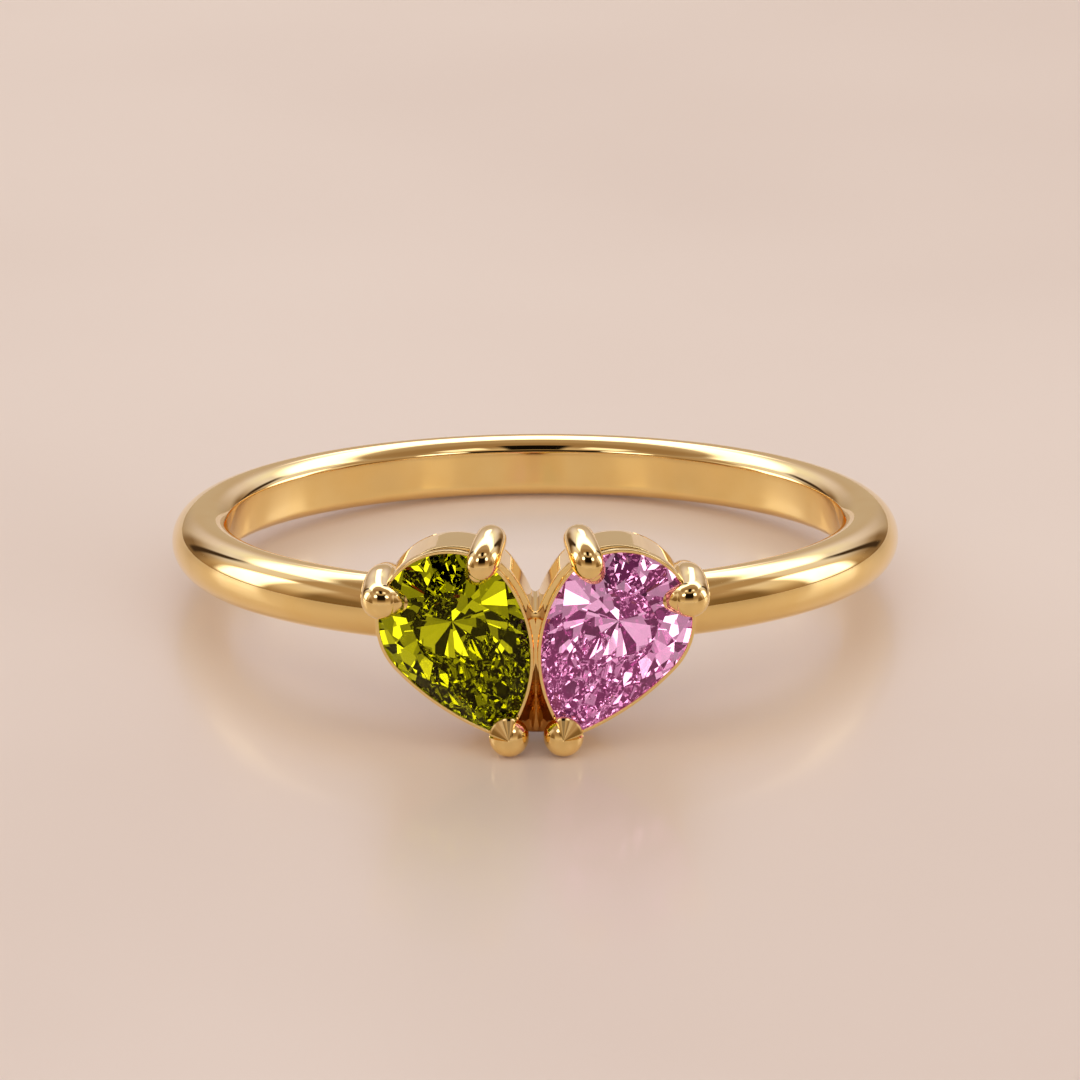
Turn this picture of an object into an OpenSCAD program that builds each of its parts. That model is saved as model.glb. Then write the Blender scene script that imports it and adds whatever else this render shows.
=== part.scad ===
// Finger ring with a plain rounded band and a heart-shaped head of two pear-cut stones.
// Lengths are in millimetres. Each piece is drawn with the finger hole along Z, the band's
// centre at the origin and the head at -Y. lay_down() then lays the ring on its side: it rests
// on the two ball claws under the head and on the band's lower edge at the back.

/* [Band] */
// Diameter of the finger hole
finger_d = 16.5; // [15.5:0.1:18]
// Diameter of the round wire that the band is made of
wire_d = 1.66; // [1.6:0.01:1.7]
// Thickness of the band between the flat inside and the outside
band_t = 1.49; // [1.46:0.01:1.52]
// Height of the band behind the middle of the head, where it is lowest
low_h = 0.8; // [0.6:0.02:1]
// Half width of the stretch over which the band gets lower
low_reach = 3.9; // [3.6:0.1:4.2]

/* [Stones] */
// Width of each stone
stone_w = 3.58; // [3.5:0.01:3.66]
// Length of each stone from its round end to its point
stone_l = 5.14; // [5.04:0.01:5.24]
// Lean of each stone, with its point towards the middle
stone_lean = 25; // [24:0.5:26]
// Gap between the two stones where they are closest
stone_gap = 0.28; // [0.26:0.01:0.32]
// Height of the crown, between the girdle and the table
crown_h = 0.5; // [0.4:0.02:0.6]
// Depth of the pavilion, behind the girdle
pavilion_h = 1.5; // [1.3:0.05:1.6]
// Thickness of the girdle
girdle_t = 0.1; // [0.08:0.01:0.12]

/* [Cups and claws] */
// Distance from the finger to the middle of the girdle
head_h = 4.15; // [4.1:0.01:4.3]
// How far the thin lip round each stone stands out from its girdle
lip_out = 0.09; // [0.08:0.01:0.1]
// How far the wall behind the lip stands out from the girdle
wall_out = 0.13; // [0.12:0.01:0.15]
// Depth of the cup's upright wall behind the girdle
cup_h = 2.4; // [2.3:0.01:2.5]
// Clearance between each stone and its metal
seat_gap = 0.02; // [0.01:0.005:0.03]
// Radius of the ball claws at the points
ball_r = 0.52; // [0.48:0.01:0.54]

/* [Hidden] */
$fn = 96;

// Sides: the left stone is drawn, and the right one is its mirror image
LEFT = 0;
RIGHT = 1;

// Band
finger_r = finger_d / 2;
wire_r = wire_d / 2;
wire_ring_r = finger_r + band_t - wire_r;
wire_drop = wire_r - low_h / 2;
low_cut_r = (low_reach * low_reach + wire_drop * wire_drop) / (2 * wire_drop);

// Depths along Y
girdle_y = -(finger_r + head_h);
cup_back_y = girdle_y + cup_h;
cup_foot_y = -(finger_r + 0.85);

// Outline of a stone: a round end, and two side arcs that meet in the point.
// The inner arc, beside the other stone, leaves the round end above its widest place and is the
// fuller one. The outer arc leaves it lower down and is straighter.
head_r = stone_w / 2;
point_l = stone_l - head_r;
inner_leave = -10.5;
outer_leave = 18;
function arc_reach(leave) = (point_l * point_l - head_r * head_r) / (2 * (head_r - point_l * sin(leave)));
function arc_centre(leave) = arc_reach(leave) * [-cos(leave), sin(leave)];
inner_c = arc_centre(inner_leave);
inner_r = arc_reach(inner_leave) + head_r;
outer_c = [-arc_centre(outer_leave)[0], arc_centre(outer_leave)[1]];
outer_r = arc_reach(outer_leave) + head_r;

// The place where circles of radius ra round a and rb round b meet, right of the way from a to b
function right_meet(a, ra, b, rb) =
    let (span = norm(b - a),
         along = (b - a) / span,
         reach = (span * span + ra * ra - rb * rb) / (2 * span),
         off = sqrt(ra * ra - reach * reach))
    a + reach * along + off * [along[1], -along[0]];
function angle_at(c, p) = atan2(p[1] - c[1], p[0] - c[0]);
function on_circle(c, r, a) = c + r * [cos(a), sin(a)];

// Outline points, grown by d all round, from the point up the inner side and round to the point
side_steps = 12;
round_steps = 24;
outline_steps = 2 * side_steps + round_steps;
function pear(d) =
    let (tip = right_meet(inner_c, inner_r + d, outer_c, outer_r + d),
         inner_from = angle_at(inner_c, tip),
         inner_turn = -inner_leave - inner_from,
         round_turn = 180 + outer_leave + inner_leave,
         outer_turn = angle_at(outer_c, tip) + 180 - outer_leave)
    concat(
        [for (i = [0 : side_steps - 1])
            on_circle(inner_c, inner_r + d, inner_from + inner_turn * i / side_steps)],
        [for (i = [0 : round_steps - 1])
            on_circle([0, 0], head_r + d, -inner_leave + round_turn * i / round_steps)],
        [for (i = [0 : side_steps - 1])
            on_circle(outer_c, outer_r + d, 180 + outer_leave + outer_turn * i / side_steps)]
    );

// Place of the left stone's round end: its inner arc reaches to half the gap from the middle
function turned(p) =
    [p[0] * cos(stone_lean) - p[1] * sin(stone_lean),
     p[0] * sin(stone_lean) + p[1] * cos(stone_lean)];
stone_x = -stone_gap / 2 - inner_r - turned(inner_c)[0];
stone_z = 0.62;
function placed(p) = [stone_x, stone_z] + turned(p);
function at_depth(outline, y, shift = [0, 0]) =
    [for (p = outline) [placed(p)[0] + shift[0], y, placed(p)[1] + shift[1]]];

// Cups: each wall stands off towards the middle, more so as it goes back
ledge_y = girdle_y + 0.04;
wall_shift = [0.13, 0.02];
back_shift = [0.2, -0.04];
foot_shift = [0.25, -0.08];
lip_y = girdle_y - girdle_t / 2;
lip_h = 0.3;
lip_edge = 0.03;
back_out = 0.08;
foot_in = 0.4;
cup_wall = 0.4;
seat_w = 0.26;
open_by = 0.01;

// Claws that grip the round end: where each stands round it at the front and at the back, how far
// its post stands out from the girdle at either place, how far its tip does, and its two radii
FRONT_ANGLE = 0;
BACK_ANGLE = 1;
POST_FRONT = 2;
POST_BACK = 3;
TIP_OUT = 4;
POST_R = 5;
TIP_R = 6;
OUTER = 1;
claws = [
    [61, 56, 0.3, 0.25, 0, 0.42, 0.43],
    [160, 157, 0.2, -0.06, 0.1, 0.34, 0.46]
];
shoulder_y = girdle_y - 0.1;
tip_y = girdle_y - 0.4;
knuckle = 0.01;
function round_end(angle, out, y) =
    [stone_x + (head_r + out) * cos(angle), y, stone_z + (head_r + out) * sin(angle)];
function post_back(c) = round_end(c[BACK_ANGLE], c[POST_BACK], cup_back_y);

// Leg that carries the outer claw down to the band
leg_at = [-3.5, -(finger_r + 0.4), 0.4];
leg_r = 0.3;

// Ball claw at the point
point_at = placed([0, -point_l]);
ball_at = [point_at[0] + 0.12, girdle_y - 0.3, point_at[1] + 0.03];
ball_back = [point_at[0] + 0.05, cup_back_y - 0.25, point_at[1] + 0.3];
ball_post_r = 0.36;
facet_turns = [-75, -20, 35];
facet_lean = 50;

// Web between the cups
web_top_z = 1.12;
valley_z = 0.83;
valley_half_w = 0.195;
web_foot_z = -2.4;
web_step_z = -1.15;
web_half_w = 0.7;
web_overlap = 0.05;
web_front_y = ledge_y + 0.02;
web_low_front_y = girdle_y + 1.1;
stem_half_w = 0.5;
stem_front_y = cup_back_y - 0.5;
stem_back_y = -(finger_r + 0.6);

// How the ring lies: the circles of the ball claw and of the band's wire both touch the floor
rest_span = norm([wire_ring_r - ball_at[1], ball_at[2]]);
rest_slope = atan2(-ball_at[2], wire_ring_r - ball_at[1]);
rest_tilt = asin((wire_r - ball_r) / rest_span) - rest_slope;
back_y = wire_ring_r * cos(rest_tilt) + wire_r;
front_y = ball_at[1] * cos(rest_tilt) - ball_at[2] * sin(rest_tilt) - ball_r;
floor_z = wire_ring_r * sin(rest_tilt) - wire_r;

module lay_down() {
    translate([0, -(back_y + front_y) / 2, -floor_z]) rotate([rest_tilt, 0, 0]) children();
}

module on_side(side) {
    mirror([side, 0, 0]) children();
}

// Closed wall through outlines of equal length, listed from the front to the back
module loft(rings) {
    n = len(rings[0]);
    last = len(rings) - 1;
    points = [for (ring = rings) for (p = ring) p];
    walls = [for (k = [0 : last - 1]) for (i = [0 : n - 1])
        let (j = (i + 1) % n)
        each [[k * n + i, k * n + j, (k + 1) * n + j], [k * n + i, (k + 1) * n + j, (k + 1) * n + i]]];
    front = [for (i = [n - 1 : -1 : 0]) i];
    back = [for (i = [0 : n - 1]) last * n + i];
    polyhedron(points = points, faces = concat([front, back], walls));
}

module rod(from, to, r) {
    way = to - from;
    length = norm(way);
    translate(from) rotate([0, acos(way[2] / length), atan2(way[1], way[0])]) cylinder(h = length, r = r);
}

// Full round wire with a flat inside, cut lower at top and bottom behind the head
module band() {
    difference() {
        rotate_extrude() translate([wire_ring_r, 0]) circle(r = wire_r);
        cylinder(h = 2 * wire_d, r = finger_r, center = true);
        for (up = [-1, 1])
            translate([0, 0, up * (low_h / 2 + low_cut_r)])
                rotate([90, 0, 0]) cylinder(h = 2 * finger_d, r = low_cut_r, $fn = 180);
    }
}

// Outside of a cup: a thin lip, an upright wall, then a foot that narrows down to the band
module cup_outside() {
    loft([
        at_depth(pear(lip_out - lip_edge), lip_y - lip_edge),
        at_depth(pear(lip_out), lip_y),
        at_depth(pear(lip_out), girdle_y + lip_h),
        at_depth(pear(back_out - lip_edge), cup_back_y, back_shift)
    ]);
    loft([
        at_depth(pear(wall_out - lip_edge), ledge_y, wall_shift),
        at_depth(pear(wall_out), ledge_y + lip_edge, wall_shift),
        at_depth(pear(back_out), cup_back_y, back_shift),
        at_depth(pear(-foot_in), cup_foot_y, foot_shift)
    ]);
}

module cup_hollow() {
    loft([
        at_depth(pear(-seat_w), girdle_y),
        at_depth(pear(back_out - cup_wall), cup_back_y, back_shift),
        at_depth(pear(-foot_in - cup_wall), cup_foot_y + open_by, foot_shift)
    ]);
}

module claw(c) {
    shoulder = round_end(c[FRONT_ANGLE], c[POST_FRONT], shoulder_y);
    tip = round_end(c[FRONT_ANGLE], c[TIP_OUT], tip_y);
    rod(post_back(c), shoulder, c[POST_R]);
    rod(shoulder, tip, c[POST_R]);
    translate(shoulder) sphere(r = c[POST_R] + knuckle);
    translate(tip) sphere(r = c[TIP_R]);
}

// Leg from the outer claw's post back into the band
module leg() {
    from = post_back(claws[OUTER]);
    translate(from) sphere(r = claws[OUTER][POST_R] + knuckle);
    rod(leg_at, from, leg_r);
}

// Ball with three flat facets that meet in a peak over the stone's point
module ball_claw() {
    rod(ball_back, ball_at, ball_post_r);
    translate(ball_at) difference() {
        sphere(r = ball_r);
        for (turn = facet_turns)
            rotate([0, turn, 0]) rotate([facet_lean, 0, 0])
                translate([-ball_r, -ball_r, ball_r * sin(facet_lean)]) cube(2 * ball_r);
    }
}

module web() {
    upright([web_front_y, cup_back_y]) intersection() {
        between_stones();
        translate([-web_half_w, web_step_z]) square([2 * web_half_w, web_top_z - web_step_z]);
    }
    upright([web_low_front_y, cup_back_y]) between_stones();
    upright([stem_front_y, stem_back_y])
        translate([-stem_half_w, -low_h / 2]) square([2 * stem_half_w, low_h]);
}

// An outline in X and Z, drawn out between two depths
module upright(span) {
    translate([0, span[1], 0]) rotate([90, 0, 0]) linear_extrude(span[1] - span[0]) children();
}

module between_stones() {
    difference() {
        translate([-web_half_w, web_foot_z]) square([2 * web_half_w, web_top_z - web_foot_z]);
        for (side = [LEFT, RIGHT])
            mirror([side, 0]) polygon([for (p = pear(web_overlap)) placed(p)]);
        polygon([[0, valley_z], [valley_half_w, web_top_z], [-valley_half_w, web_top_z]]);
    }
}

module band_and_settings() {
    color("goldenrod") lay_down() difference() {
        union() {
            band();
            web();
            for (side = [LEFT, RIGHT]) on_side(side) {
                cup_outside();
                ball_claw();
                leg();
                for (c = claws) claw(c);
            }
        }
        for (side = [LEFT, RIGHT]) on_side(side) {
            cup_hollow();
            cut_stone(seat_gap);
        }
    }
}

// Pear brilliant: a table, star facets, kites and girdle facets in front, and kites and girdle
// facets behind that run to the culet. grow adds the same clearance on every side.
table_scale = 0.56;
star_scale = 0.8;
star_rise = 0.62;
waist_scale = 0.3;
waist_drop = 0.76;
culet_at = [0.05, -0.12];
mains = 8;
main_step = outline_steps / mains;
half_step = main_step / 2;
function shrunk(p, s) = culet_at + s * (p - culet_at);

module cut_stone(grow) {
    edge = pear(grow);
    front_y = girdle_y - girdle_t / 2 - grow;
    rear_y = girdle_y + girdle_t / 2 + grow;
    n = outline_steps;
    table = at_depth([for (k = [0 : mains - 1]) shrunk(edge[k * main_step], table_scale)], front_y - crown_h);
    stars = at_depth([for (k = [0 : mains - 1]) shrunk(edge[k * main_step + half_step], star_scale)],
        front_y - crown_h * star_rise);
    waist = at_depth([for (k = [0 : mains - 1]) shrunk(edge[k * main_step + half_step], waist_scale)],
        rear_y + pavilion_h * waist_drop);
    culet = at_depth([culet_at], rear_y + pavilion_h);
    points = concat(table, stars, at_depth(edge, front_y), at_depth(edge, rear_y), waist, culet);
    star0 = mains;
    front0 = 2 * mains;
    rear0 = front0 + n;
    waist0 = rear0 + n;
    tip = waist0 + mains;
    crown = [for (k = [0 : mains - 1])
        let (next = (k + 1) % mains,
             here = front0 + k * main_step,
             there = front0 + next * main_step)
        each concat(
            [[k, next, star0 + k], [k, star0 + k, here], [next, there, star0 + k]],
            [for (i = [0 : main_step - 1])
                [star0 + k, front0 + (k * main_step + i + 1) % n, front0 + k * main_step + i]]
        )];
    girdle = [for (i = [0 : n - 1])
        let (j = (i + 1) % n)
        each [[front0 + i, front0 + j, rear0 + j], [front0 + i, rear0 + j, rear0 + i]]];
    pavilion = [for (k = [0 : mains - 1])
        let (next = (k + 1) % mains,
             here = rear0 + k * main_step,
             there = rear0 + next * main_step)
        each concat(
            [[tip, here, waist0 + k], [tip, waist0 + k, there]],
            [for (i = [0 : main_step - 1])
                [waist0 + k, rear0 + k * main_step + i, rear0 + (k * main_step + i + 1) % n]]
        )];
    table_face = [[for (k = [mains - 1 : -1 : 0]) k]];
    polyhedron(points = points, faces = concat(table_face, crown, girdle, pavilion));
}

module green_stone() {
    color("olive") lay_down() on_side(LEFT) cut_stone(0);
}

module pink_stone() {
    color("orchid") lay_down() on_side(RIGHT) cut_stone(0);
}

band_and_settings();
green_stone();
pink_stone();
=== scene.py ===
import math
import bmesh
import bpy
import numpy as np
from mathutils import Matrix, Vector


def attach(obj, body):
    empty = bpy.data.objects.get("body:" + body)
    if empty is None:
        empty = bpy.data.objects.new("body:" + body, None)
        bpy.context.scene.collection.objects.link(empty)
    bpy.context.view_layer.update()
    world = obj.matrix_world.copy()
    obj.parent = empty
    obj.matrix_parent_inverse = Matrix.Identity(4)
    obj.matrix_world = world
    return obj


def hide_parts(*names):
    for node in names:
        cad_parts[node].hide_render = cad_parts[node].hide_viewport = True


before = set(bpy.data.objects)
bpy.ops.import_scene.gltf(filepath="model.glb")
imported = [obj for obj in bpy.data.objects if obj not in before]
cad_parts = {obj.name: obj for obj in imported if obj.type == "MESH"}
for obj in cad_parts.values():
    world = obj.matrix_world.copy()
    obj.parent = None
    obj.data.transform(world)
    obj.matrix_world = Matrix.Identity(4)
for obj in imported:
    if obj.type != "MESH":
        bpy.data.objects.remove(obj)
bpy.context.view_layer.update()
print("frame loaded:", len(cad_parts), "nodes")

# Each piece is drawn in millimetres with the finger hole along Z, the head at -Y and the band's
# middle at the origin, and is then laid down on the ball claws and the band's back edge.
lie = {
    "wireRingR": 8.91,   # middle of the band's wire, from the middle of the ring
    "wireR": 0.83,
    "ballY": -12.7,      # ball claw's middle
    "ballZ": -2.38613,
    "ballR": 0.52,
}


def layDownMatrix(lie):
    back = lie["wireRingR"]
    span = math.hypot(back - lie["ballY"], lie["ballZ"])
    slope = math.atan2(-lie["ballZ"], back - lie["ballY"])
    tilt = math.asin((lie["wireR"] - lie["ballR"]) / span) - slope
    backY = back * math.cos(tilt) + lie["wireR"]
    frontY = lie["ballY"] * math.cos(tilt) - lie["ballZ"] * math.sin(tilt) - lie["ballR"]
    floorZ = back * math.sin(tilt) - lie["wireR"]
    move = Matrix.Translation((0, -(backY + frontY) / 2, -floorZ))
    return Matrix.Scale(0.001, 4) @ move @ Matrix.Rotation(tilt, 4, "X")


layDown = layDownMatrix(lie)


# Shader sums: a Wire is one socket, and the usual signs add Math nodes behind it
class Wire:
    def __init__(self, maker, socket):
        self.maker, self.socket = maker, socket

    def calc(self, operation, *values):
        return self.maker.node("ShaderNodeMath", {"operation": operation}, dict(enumerate(values)))

    def __add__(self, other):
        return self.calc("ADD", self, other)

    def __radd__(self, other):
        return self.calc("ADD", other, self)

    def __sub__(self, other):
        return self.calc("SUBTRACT", self, other)

    def __rsub__(self, other):
        return self.calc("SUBTRACT", other, self)

    def __mul__(self, other):
        return self.calc("MULTIPLY", self, other)

    def __rmul__(self, other):
        return self.calc("MULTIPLY", other, self)

    def __abs__(self):
        return self.calc("ABSOLUTE", self)

    def between(self, low, high):
        # 0 below low, 1 above high, smooth on the way
        if low > high:
            return 1 - self.between(high, low)
        return self.maker.node("ShaderNodeMapRange", {"interpolation_type": "SMOOTHSTEP"},
                               {"Value": self, "From Min": low, "From Max": high})


class NodeMaker:
    def __init__(self, tree):
        self.tree = tree
        tree.nodes.clear()

    def node(self, kind, settings=None, sockets=None, out=0):
        made = self.tree.nodes.new(kind)
        for name, value in (settings or {}).items():
            if name == "stops":
                self.setStops(made.color_ramp, value)
            else:
                setattr(made, name, value)
        for name, value in (sockets or {}).items():
            if isinstance(value, Wire):
                self.tree.links.new(value.socket, made.inputs[name])
            else:
                made.inputs[name].default_value = value
        return Wire(self, made.outputs[out]) if len(made.outputs) else made

    def setStops(self, ramp, stops):
        while len(ramp.elements) < len(stops):
            ramp.elements.new(0.5)
        for element, (place, colour) in zip(ramp.elements, stops):
            element.position = place
            element.color = colour

    def ramp(self, factor, stops):
        return self.node("ShaderNodeValToRGB", {"stops": stops}, {"Fac": factor})

    def blend(self, factor, first, second):
        return self.node("ShaderNodeMix", {"data_type": "RGBA"},
                         {0: factor, 6: first, 7: second}, out=2)

    def noise(self, where, scale, detail=2.0, distortion=0.0):
        return self.node("ShaderNodeTexNoise", {}, {"Vector": where, "Scale": scale,
                                                    "Detail": detail, "Distortion": distortion})

    def scaled(self, where, factors):
        return self.node("ShaderNodeVectorMath", {"operation": "MULTIPLY"}, {0: where, 1: factors})

    def place(self):
        # where a point is, in metres
        return self.node("ShaderNodeTexCoord", out=3)

    def placeInMm(self):
        return self.scaled(self.place(), (1000, 1000, 1000))


def newMaterial(name):
    material = bpy.data.materials.new(name)
    material.use_nodes = True
    material.cycles.emission_sampling = "NONE"      # a faint glow isn't worth aiming rays at
    return material, NodeMaker(material.node_tree)


# Camera at the photograph's angle: about 18.5 degrees above the floor, from 300 mm away
camera = {
    "elevation": 12.97,     # above the ring's own plane, which leans 5.5 degrees
    "distance": 300.0,
    "aside": 0.13,
    "raise": -0.1063,
    "roll": 0.368,
    "focalPixels": 11179.5,
    "framePixels": 1080.0,
    "sensorW": 36.0,
    "clip": (0.01, 20.0),
}
bounces = {"max_bounces": 20, "glossy_bounces": 16, "transmission_bounces": 16}


def addCamera(camera):
    data = bpy.data.cameras.new("camera")
    seen = bpy.data.objects.new("camera", data)
    bpy.context.scene.collection.objects.link(seen)
    data.sensor_width = camera["sensorW"]
    data.lens = camera["focalPixels"] / camera["framePixels"] * camera["sensorW"]
    data.clip_start, data.clip_end = camera["clip"]
    rise = math.radians(camera["elevation"])
    ahead = Vector((0, math.cos(rise), -math.sin(rise)))
    up = Vector((0, math.sin(rise), math.cos(rise)))
    place = Vector((camera["aside"], 0, 0)) - ahead * camera["distance"] + up * camera["raise"]
    turn = ahead.to_track_quat("-Z", "Y").to_matrix().to_4x4()
    turn = turn @ Matrix.Rotation(math.radians(-camera["roll"]), 4, "Z")
    spot, facing, _ = (layDown @ Matrix.Translation(place) @ turn).decompose()
    seen.location = spot
    seen.rotation_mode = "QUATERNION"
    seen.rotation_quaternion = facing
    bpy.context.scene.camera = seen


addCamera(camera)
bpy.context.scene.view_settings.view_transform = "Standard"
for kind, most in bounces.items():      # the stones reflect inside many times
    setattr(bpy.context.scene.cycles, kind, most)
print("camera set")

# Studio: a pale floor, and a light tent given as a sky. In a direction, x is to the right, y to
# the back and z up, and side is how far it is to either side. The stones see a sky of their own.
studio = {
    "floorR": 1.5,
    "floorColour": (0.82, 0.685, 0.595, 1),
    "floorDeep": (0.74, 0.60, 0.51, 1),
    "floorFill": 0.08,      # evens out the shadow round the ring
    "floorSides": 96,
    "floorRoughness": 0.34,
    "floorRoughnessSpread": 0.12,
    "floorCoat": 0.25,
    "floorCoatRoughness": 0.1,
    "boxColour": (0.93, 0.96, 1.12, 1),
    "boxPower": 1.9,
    "panelPower": 2.2,
    "rimPower": 1.0,
    "lampWay": (0.49, -0.49, 0.721),
    "lampEdge": (0.986, 0.991),
    "lampPower": 2.4,
    "softLight": (1.0, 0.93, 0.85, 1),
    "softPower": 0.86,
    "softRise": 0.30,       # share of the soft light that only comes from higher up
    "softFront": 0.40,      # how much stronger it is in front, and weaker behind
    "seenColour": (0.62, 0.53, 0.46, 1),
    "headAt": (0.0, -0.0095, 0.003),
    "gemColour": (1.0, 0.97, 0.95, 1),
    "openings": 7.3,
    "gemDark": 0.025,
    "gemPale": 0.48,
    "gemBright": 2.2,
    "gemSteps": (0.30, 0.56, 0.84),     # chances where the openings turn pale, paler and bright
    "gemEdge": 0.02,
}

# Tones of the tent from the floor up, as pairs of height and colour
tentTones = {
    "front": [(0.0, (0.68, 0.54, 0.46, 1)), (0.12, (0.68, 0.54, 0.46, 1)),
              (0.22, (0.50, 0.36, 0.30, 1)), (0.33, (0.26, 0.17, 0.10, 1)),
              (0.45, (0.10, 0.06, 0.03, 1)), (0.53, (0.01, 0.006, 0.004, 1)),
              (0.84, (0.01, 0.006, 0.004, 1)), (0.90, (0.42, 0.29, 0.19, 1)),
              (0.97, (0.70, 0.58, 0.54, 1))],
    "frontBeside": [(0.0, (0.70, 0.56, 0.50, 1)), (0.12, (0.66, 0.51, 0.40, 1)),
                    (0.22, (0.55, 0.40, 0.29, 1)), (0.32, (0.40, 0.28, 0.19, 1)),
                    (0.45, (0.33, 0.21, 0.13, 1)), (0.60, (0.39, 0.25, 0.18, 1)),
                    (0.72, (0.55, 0.42, 0.36, 1)), (0.85, (0.60, 0.48, 0.44, 1))],
    "frontAside": [(0.0, (0.20, 0.12, 0.06, 1)), (0.27, (0.21, 0.13, 0.07, 1)),
                   (0.38, (0.34, 0.22, 0.14, 1)), (0.52, (0.50, 0.37, 0.30, 1))],
    "behind": [(0.0, (0.54, 0.43, 0.32, 1)), (0.25, (0.53, 0.43, 0.38, 1)),
               (0.35, (0.58, 0.49, 0.52, 1)), (0.45, (0.68, 0.61, 0.70, 1)),
               (0.60, (0.90, 0.90, 1.0, 1)), (0.72, (0.80, 0.74, 0.85, 1)),
               (0.80, (0.56, 0.47, 0.48, 1)), (0.86, (0.42, 0.31, 0.25, 1))],
    "behindWide": [(0.0, (0.42, 0.32, 0.24, 1)), (0.15, (0.54, 0.45, 0.44, 1)),
                   (0.25, (0.64, 0.56, 0.64, 1)), (0.36, (0.76, 0.70, 0.88, 1)),
                   (0.50, (0.92, 0.92, 1.0, 1)), (0.75, (0.75, 0.66, 0.72, 1)),
                   (0.86, (0.42, 0.31, 0.25, 1))],
    "behindWider": [(0.0, (0.22, 0.14, 0.09, 1)), (0.16, (0.22, 0.14, 0.09, 1)),
                    (0.25, (0.37, 0.28, 0.25, 1)), (0.35, (0.60, 0.53, 0.62, 1)),
                    (0.46, (0.82, 0.79, 1.0, 1)), (0.70, (0.80, 0.74, 0.85, 1)),
                    (0.82, (0.36, 0.26, 0.20, 1))],
    "flank": [(0.0, (0.33, 0.21, 0.13, 1)), (0.14, (0.44, 0.31, 0.22, 1)),
              (0.25, (0.60, 0.46, 0.38, 1)), (0.36, (0.75, 0.62, 0.56, 1)),
              (0.60, (0.78, 0.68, 0.72, 1))],
}

# Where one tone gives way to the next
tentEdges = [("front", "frontBeside", "side", 0.34, 0.44),
             ("front", "frontAside", "side", 0.72, 0.84),
             ("behind", "behindWide", "side", 0.10, 0.30),
             ("behind", "behindWider", "side", 0.36, 0.50),
             ("behind", "flank", "side", 0.68, 0.80),
             ("front", "behind", "y", -0.26, -0.10)]

# Patches of the tent: each edge is an axis, where the patch begins and where it is full
patches = {
    "overhead": [("z", 0.80, 0.88), ("y", -0.10, 0.0), ("y", 0.40, 0.20)],
    "shoulder": [("side", 0.58, 0.66), ("y", 0.28, 0.16), ("z", 0.54, 0.64)],
    "slot": [("side", 0.14, 0.10), ("y", -0.38, -0.32), ("y", 0.10, 0.04), ("z", 0.84, 0.90)],
    "gap": [("side", 0.54, 0.59), ("side", 0.68, 0.63), ("y", 0.55, 0.66), ("z", 0.02, 0.10)],
    "box": [("side", 0.63, 0.56), ("y", 0.14, 0.30), ("z", 0.50, 0.62), ("z", 0.82, 0.75)],
    "core": [("side", 0.16, 0.09), ("y", 0.36, 0.44), ("z", 0.38, 0.46), ("z", 0.83, 0.77)],
    "rim": [("side", 0.17, 0.22), ("side", 0.40, 0.33), ("y", -0.24, -0.18), ("y", 0.02, -0.05),
            ("z", 0.86, 0.92)],
    "panel": [("side", 0.775, 0.82), ("z", 0.0, 0.10), ("z", 0.64, 0.56), ("y", 0.06, 0.17),
              ("y", 0.56, 0.44)],
}
patchTones = {
    "overhead": (0.32, 0.21, 0.14, 1),
    "shoulder": (0.43, 0.30, 0.22, 1),
    "slot": (0.006, 0.004, 0.003, 1),
    "gap": (0.05, 0.03, 0.02, 1),
}


def mirroredWay(m, way):
    # the same direction on the right and on the left, so that both halves of the ring match
    x, y, z = (m.node("ShaderNodeSeparateXYZ", {}, {0: way}, out=i) for i in range(3))
    axes = {"side": abs(x), "y": y, "z": z}
    return m.node("ShaderNodeCombineXYZ", {}, {0: axes["side"], 1: y, 2: z}), axes


def sparkle(m, way, studio):
    # what the stones see: a dark tent with straight-sided openings, some pale and a few bright
    cell = m.node("ShaderNodeTexVoronoi", {}, {"Vector": way, "Scale": studio["openings"]},
                  out="Color")
    chance = m.node("ShaderNodeSeparateColor", {}, {0: cell}, out=0)
    pale, paler, bright = (chance.between(step, step + studio["gemEdge"])
                           for step in studio["gemSteps"])
    strength = studio["gemDark"] + studio["gemPale"] * (pale + paler) + studio["gemBright"] * bright
    return {"Color": studio["gemColour"], "Strength": strength}


def patch(axes, name):
    edges = [axes[axis].between(begin, full) for axis, begin, full in patches[name]]
    inside = edges[0]
    for edge in edges[1:]:
        inside = inside * edge
    return inside


def tentTone(m, axes):
    # front: pale at the floor, brown above it, and black in the middle further up
    # behind: a haze that gets brighter and cooler as it rises, dark low down at the sides
    tones = {name: m.ramp(axes["z"], stops) for name, stops in tentTones.items()}
    for near, far, axis, begin, full in tentEdges:
        tones[near] = m.blend(axes[axis].between(begin, full), tones[near], tones[far])
    base = tones["front"]
    for name, tone in patchTones.items():
        base = m.blend(patch(axes, name), base, tone)
    return base


def tentLights(m, way, axes, studio):
    begin, full = studio["lampEdge"]
    lamp = m.node("ShaderNodeVectorMath", {"operation": "DOT_PRODUCT"},
                  {0: way, 1: studio["lampWay"]}, out="Value").between(begin, full)
    box, core, rim, panel = (patch(axes, name) for name in ("box", "core", "rim", "panel"))
    return (box.calc("MAXIMUM", box, core) * studio["boxPower"] + panel * studio["panelPower"]
            + lamp * studio["lampPower"] + rim * studio["rimPower"])


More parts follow.
